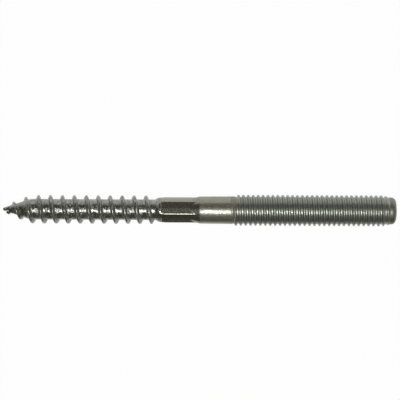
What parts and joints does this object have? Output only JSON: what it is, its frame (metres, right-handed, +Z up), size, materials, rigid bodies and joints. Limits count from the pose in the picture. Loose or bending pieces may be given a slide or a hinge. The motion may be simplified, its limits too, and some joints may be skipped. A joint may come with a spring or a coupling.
{
  "type": "hanger bolt",
  "caption": "Stainless steel hanger bolt with a pointed wood-screw thread at one end, a metric machine thread at the other, and spanner flats and a plain shank between them.",
  "frame": {"origin": "On the surface that the bolt lies on, below the middle of its length", "axes": "+X along the bolt from the gimlet point to the flat end of the machine thread, +Z up from the surface that it lies on"},
  "size_m": [0.1, 0.008, 0.0079],
  "materials": {
    "stainless_steel": "bright rolled stainless steel, slightly satin"
  },
  "bodies": {
    "root": {"hanger_bolt": "stainless_steel"}
  },
  "joints": []
}
